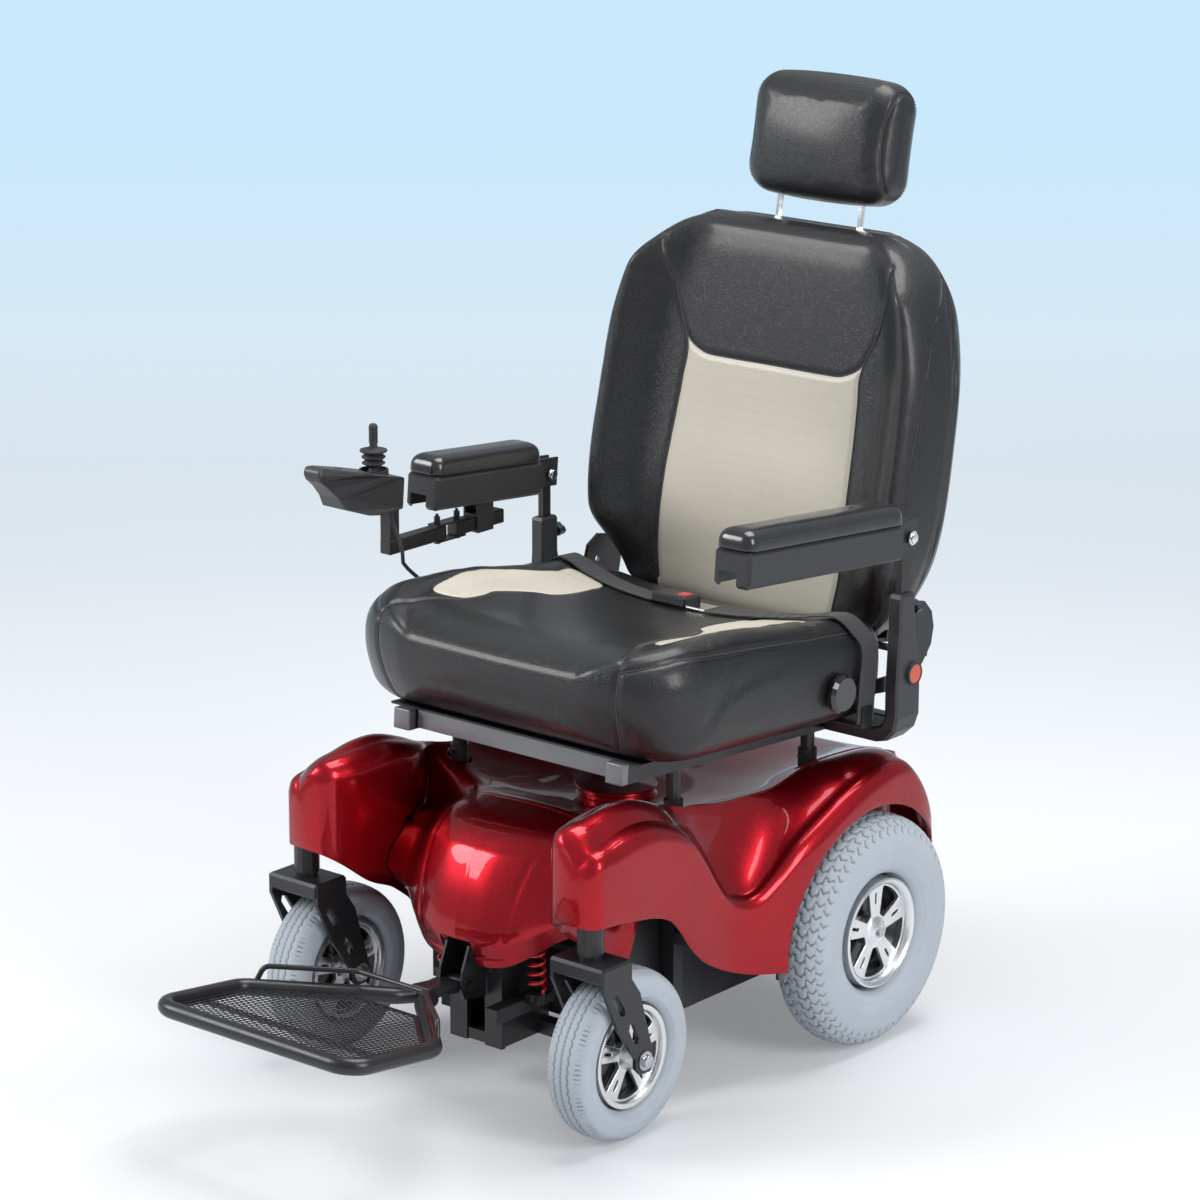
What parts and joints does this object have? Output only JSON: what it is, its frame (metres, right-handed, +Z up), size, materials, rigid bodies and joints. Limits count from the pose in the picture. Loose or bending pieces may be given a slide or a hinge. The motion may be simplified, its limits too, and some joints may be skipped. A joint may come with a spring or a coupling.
{
  "type": "power wheelchair",
  "caption": "Wide power wheelchair with captain's seat, headrest, flip-up arms, joystick control, shrouded base, rear drive wheels, front casters and folding mesh footplate.",
  "frame": {"origin": "floor under the centre of the whole chair's footprint", "axes": "+Z up, +Y to the rear, +X to the rider's left"},
  "size_m": [0.763, 1.3658, 1.3986],
  "materials": {
    "frame_black": "satin powder coat",
    "cover_red": "deep metallic red with clear coat",
    "spring_red": "gloss",
    "plastic_black": "fine texture",
    "paddle_black": "polished",
    "battery_case": "matte",
    "motor_black": "satin",
    "rim_silver": "bright satin",
    "tyre_grey": "matte",
    "vinyl_black": "grained, with stitched seams",
    "webbing_black": "woven",
    "chrome_bright": "polished",
    "zinc": "plated",
    "reflector_orange": "clear over prisms",
    "button_red": "satin",
    "rubber_black": "matte"
  },
  "bodies": {
    "chassis": {"chassis_frame": "frame_black", "battery_tray": "plastic_black", "battery_front": "battery_case", "battery_rear": "battery_case", "control_module": "plastic_black", "top_cover": "cover_red", "nose_cover": "cover_red", "side_cover_left": "cover_red", "side_cover_right": "cover_red", "drive_motor_left": "motor_black", "drive_motor_right": "motor_black", "spring_left": "spring_red", "spring_right": "spring_red", "joystick_cable": "rubber_black"},
    "seat": {"seat_frame": "frame_black", "seat_cushion": "vinyl_black", "belt_left": "webbing_black", "belt_right": "webbing_black", "belt_tongue": "chrome_bright", "belt_buckle": "plastic_black", "arm_bracket_left": "plastic_black", "arm_bracket_right": "plastic_black", "reflector_left": "reflector_orange", "reflector_right": "reflector_orange"},
    "back": {"back_bracket": "frame_black", "back_cushion": "vinyl_black"},
    "headrest": {"headrest_rod": "chrome_bright", "headrest_pad": "vinyl_black"},
    "recline_lever": {"recline_lever": "paddle_black"},
    "belt_button": {"belt_button": "button_red"},
    "joystick_bar": {"joystick_bar": "frame_black"},
    "joystick_link": {"joystick_link": "frame_black"},
    "joystick_swing": {"joystick_swing_bar": "frame_black", "joystick_case": "plastic_black"},
    "joystick_gimbal": {"joystick_gimbal": "zinc"},
    "joystick_stick": {"joystick_lever": "rubber_black"},
    "power_button": {"power_button": "battery_case"},
    "footplate_hanger": {"footplate_hanger": "frame_black"},
    "footplate": {"footplate_frame": "frame_black", "footplate_deck": "frame_black"},
    "wheel_left": {"drive_rim_left": "rim_silver", "drive_tyre_left": "tyre_grey"},
    "suspension_left": {"suspension_arm_left": "frame_black"},
    "swivel_left": {"caster_fork_left": "frame_black"},
    "caster_left": {"caster_rim_left": "rim_silver", "caster_tyre_left": "tyre_grey"},
    "arm_left": {"arm_post_left": "frame_black"},
    "armrest_left": {"arm_channel_left": "plastic_black", "arm_pad_left": "vinyl_black"},
    "knob_left": {"arm_knob_left": "plastic_black"},
    "wheel_right": {"drive_rim_right": "rim_silver", "drive_tyre_right": "tyre_grey"},
    "suspension_right": {"suspension_arm_right": "frame_black"},
    "swivel_right": {"caster_fork_right": "frame_black"},
    "caster_right": {"caster_rim_right": "rim_silver", "caster_tyre_right": "tyre_grey"},
    "arm_right": {"arm_post_right": "frame_black"},
    "armrest_right": {"arm_channel_right": "plastic_black", "arm_pad_right": "vinyl_black"},
    "knob_right": {"arm_knob_right": "plastic_black"}
  },
  "joints": [
    {"name": "wheel_left_spin", "type": "hinge", "parent": "chassis", "child": "wheel_left", "pos_m": [0.31748, 0.3096, 0.178], "axis": [1, 0, 0], "continuous": true},
    {"name": "suspension_left_rock", "type": "hinge", "parent": "chassis", "child": "suspension_left", "pos_m": [0.08998, -0.1149, 0.22], "axis": [-1, 0, 0], "range_deg": [0, 8], "stiffness_Nm_per_rad": 600, "springref_deg": -8.59, "deforming": ["spring_left"]},
    {"name": "caster_left_swivel", "type": "hinge", "parent": "suspension_left", "child": "swivel_left", "pos_m": [0.27598, -0.2759, 0.2935], "axis": [0, 0, 1], "continuous": true},
    {"name": "caster_left_roll", "type": "hinge", "parent": "swivel_left", "child": "caster_left", "pos_m": [0.27598, -0.2159, 0.127], "axis": [1, 0, 0], "continuous": true},
    {"name": "arm_left_height", "type": "slide", "parent": "seat", "child": "arm_left", "axis": [0, 0, 1], "range_m": [-0.02, 0.04]},
    {"name": "armrest_left_flip", "type": "hinge", "parent": "arm_left", "child": "armrest_left", "pos_m": [0.34898, 0.3496, 0.784], "axis": [-1, 0, 0], "range_deg": [0, 95]},
    {"name": "knob_left_turn", "type": "hinge", "parent": "seat", "child": "knob_left", "pos_m": [0.34898, 0.3796, 0.669], "axis": [0, 1, 0], "continuous": true},
    {"name": "wheel_right_spin", "type": "hinge", "parent": "chassis", "child": "wheel_right", "pos_m": [-0.31352, 0.3096, 0.178], "axis": [1, 0, 0], "continuous": true},
    {"name": "suspension_right_rock", "type": "hinge", "parent": "chassis", "child": "suspension_right", "pos_m": [-0.08602, -0.1149, 0.22], "axis": [-1, 0, 0], "range_deg": [0, 8], "stiffness_Nm_per_rad": 600, "springref_deg": -8.59, "deforming": ["spring_right"]},
    {"name": "caster_right_swivel", "type": "hinge", "parent": "suspension_right", "child": "swivel_right", "pos_m": [-0.27202, -0.2759, 0.2935], "axis": [0, 0, 1], "continuous": true},
    {"name": "caster_right_roll", "type": "hinge", "parent": "swivel_right", "child": "caster_right", "pos_m": [-0.27202, -0.2159, 0.127], "axis": [1, 0, 0], "continuous": true},
    {"name": "arm_right_height", "type": "slide", "parent": "seat", "child": "arm_right", "axis": [0, 0, 1], "range_m": [0, 0.06]},
    {"name": "armrest_right_flip", "type": "hinge", "parent": "arm_right", "child": "armrest_right", "pos_m": [-0.34502, 0.3496, 0.768], "axis": [-1, 0, 0], "range_deg": [0, 95]},
    {"name": "knob_right_turn", "type": "hinge", "parent": "seat", "child": "knob_right", "pos_m": [-0.34502, 0.3796, 0.669], "axis": [0, 1, 0], "continuous": true},
    {"name": "seat_height", "type": "slide", "parent": "chassis", "child": "seat", "axis": [0, 0, 1], "range_m": [0, 0.05]},
    {"name": "back_recline", "type": "hinge", "parent": "seat", "child": "back", "pos_m": [0.00198, 0.4146, 0.545], "axis": [-1, 0, 0], "range_deg": [-6, 30]},
    {"name": "headrest_height", "type": "slide", "parent": "back", "child": "headrest", "axis": [0, 0.1874, 0.9823], "range_m": [0, 0.08]},
    {"name": "recline_lever_pull", "type": "hinge", "parent": "seat", "child": "recline_lever", "pos_m": [0.31548, 0.4146, 0.545], "axis": [-1, 0, 0], "range_deg": [0, 20], "stiffness_Nm_per_rad": 2, "springref_deg": -17.19},
    {"name": "belt_button_press", "type": "slide", "parent": "seat", "child": "belt_button", "axis": [0, -0.0628, -0.998], "range_m": [0, 0.002], "stiffness_N_per_m": 400, "springref_m": -0.001},
    {"name": "joystick_bar_slide", "type": "slide", "parent": "armrest_right", "child": "joystick_bar", "axis": [0, -1, 0], "range_m": [-0.015, 0.03]},
    {"name": "joystick_link_swing", "type": "hinge", "parent": "joystick_bar", "child": "joystick_link", "pos_m": [-0.34502, 0.1426, 0.7215], "axis": [0, 0, -1], "range_deg": [0, 90]},
    {"name": "joystick_arm_swing", "type": "hinge", "parent": "joystick_link", "child": "joystick_swing", "pos_m": [-0.34502, 0.0976, 0.7215], "axis": [0, 0, 1], "range_deg": [0, 90]},
    {"name": "joystick_drive", "type": "hinge", "parent": "joystick_swing", "child": "joystick_gimbal", "pos_m": [-0.34502, -0.0424, 0.835], "axis": [1, 0, 0], "range_deg": [-14, 14], "stiffness_Nm_per_rad": 0.6},
    {"name": "joystick_steer", "type": "hinge", "parent": "joystick_gimbal", "child": "joystick_stick", "pos_m": [-0.34502, -0.0424, 0.835], "axis": [0, 1, 0], "range_deg": [-14, 14], "stiffness_Nm_per_rad": 0.6},
    {"name": "power_button_press", "type": "slide", "parent": "joystick_swing", "child": "power_button", "axis": [0, -0.2534, -0.9673], "range_m": [0, 0.0015], "stiffness_N_per_m": 300, "springref_m": -0.001},
    {"name": "footplate_height", "type": "slide", "parent": "chassis", "child": "footplate_hanger", "axis": [0, 0, 1], "range_m": [-0.03, 0]},
    {"name": "footplate_flip", "type": "hinge", "parent": "footplate_hanger", "child": "footplate", "pos_m": [0.00198, -0.2484, 0.174], "axis": [-1, 0, 0], "range_deg": [0, 70]}
  ]
}
